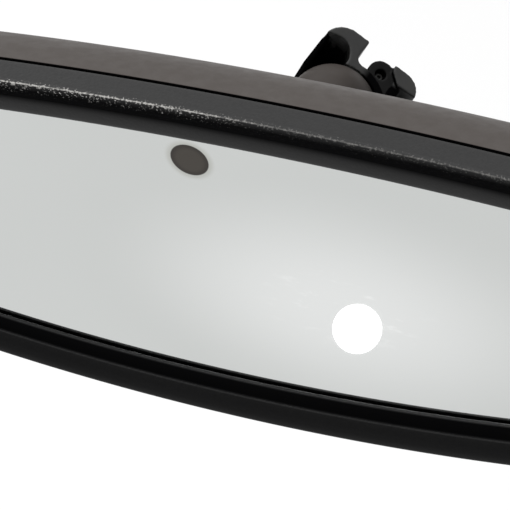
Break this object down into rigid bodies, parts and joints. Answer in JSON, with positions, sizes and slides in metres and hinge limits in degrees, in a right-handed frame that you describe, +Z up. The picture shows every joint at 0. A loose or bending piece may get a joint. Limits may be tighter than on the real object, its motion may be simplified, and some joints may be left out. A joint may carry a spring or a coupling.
{
  "type": "interior rearview mirror",
  "caption": "Wide curved rearview mirror head in a grained bezel and warm grey shell, on a ball joint with a clawed windshield foot.",
  "frame": {"origin": "middle of the foot's channel floor, where the windshield button seats", "axes": "the glass faces -Y, +Z is up and +X runs along the mirror's long side to the right as seen from the driver"},
  "size_m": [0.2503, 0.0688, 0.0744],
  "materials": {
    "housing": "fine satin grain, warm grey",
    "bezel": "black, pebble grain",
    "mirror": "bright reflective coating",
    "clear": "polished",
    "steel": "plated",
    "casting": "black coating, satin",
    "nylon": "natural",
    "plastic": "moulded black",
    "foam": "closed-cell foam",
    "board": "solder mask",
    "gold": "plated",
    "smoke": "dark tinted"
  },
  "bodies": {
    "mount": {"mount_foot": "casting", "ball_stud": "steel", "set_screw": "casting", "button_clip": "steel"},
    "ball_seat": {"ball_seat": "nylon"},
    "pressure_cup": {"pressure_cup": "steel"},
    "head": {"rear_housing": "housing", "front_bezel": "bezel", "front_glass": "mirror", "electrochromic_gel": "clear", "rear_glass": "clear", "glare_light_pipe": "clear", "contact_clip_top": "steel", "contact_clip_bottom": "steel", "carrier_screw_1": "steel", "carrier_screw_2": "steel", "carrier_screw_3": "steel", "carrier_screw_4": "steel", "board_screw_1": "steel", "board_screw_2": "steel", "board_screw_3": "steel", "board_screw_4": "steel", "capacitor_1": "steel", "capacitor_2": "steel", "spring_plate": "steel", "plate_screw_1": "steel", "plate_screw_2": "steel", "plate_screw_3": "steel", "pressure_spring": "steel", "edge_seal": "nylon", "carrier_plate": "plastic", "controller_chip": "plastic", "connector_shell": "plastic", "foam_pad": "foam", "circuit_board": "board", "connector_pin_1": "gold", "connector_pin_2": "gold", "connector_pin_3": "gold", "connector_pin_4": "gold", "glare_sensor": "smoke", "ambient_sensor": "smoke", "ambient_window": "smoke"}
  },
  "joints": [
    {"name": "head_swivel", "type": "hinge", "parent": "mount", "child": "ball_seat", "pos_m": [-0.00133, -0.01021, 0.00374], "axis": [0.2549, 0.9513, 0.1736], "range_deg": [-10, 70]},
    {"name": "head_yaw", "type": "hinge", "parent": "ball_seat", "child": "pressure_cup", "pos_m": [-0.00133, -0.01021, 0.00374], "axis": [0, 0, 1], "range_deg": [-30, 0]},
    {"name": "head_pitch", "type": "hinge", "parent": "pressure_cup", "child": "head", "pos_m": [-0.00133, -0.01021, 0.00374], "axis": [1, 0, 0], "range_deg": [0, 20]}
  ]
}
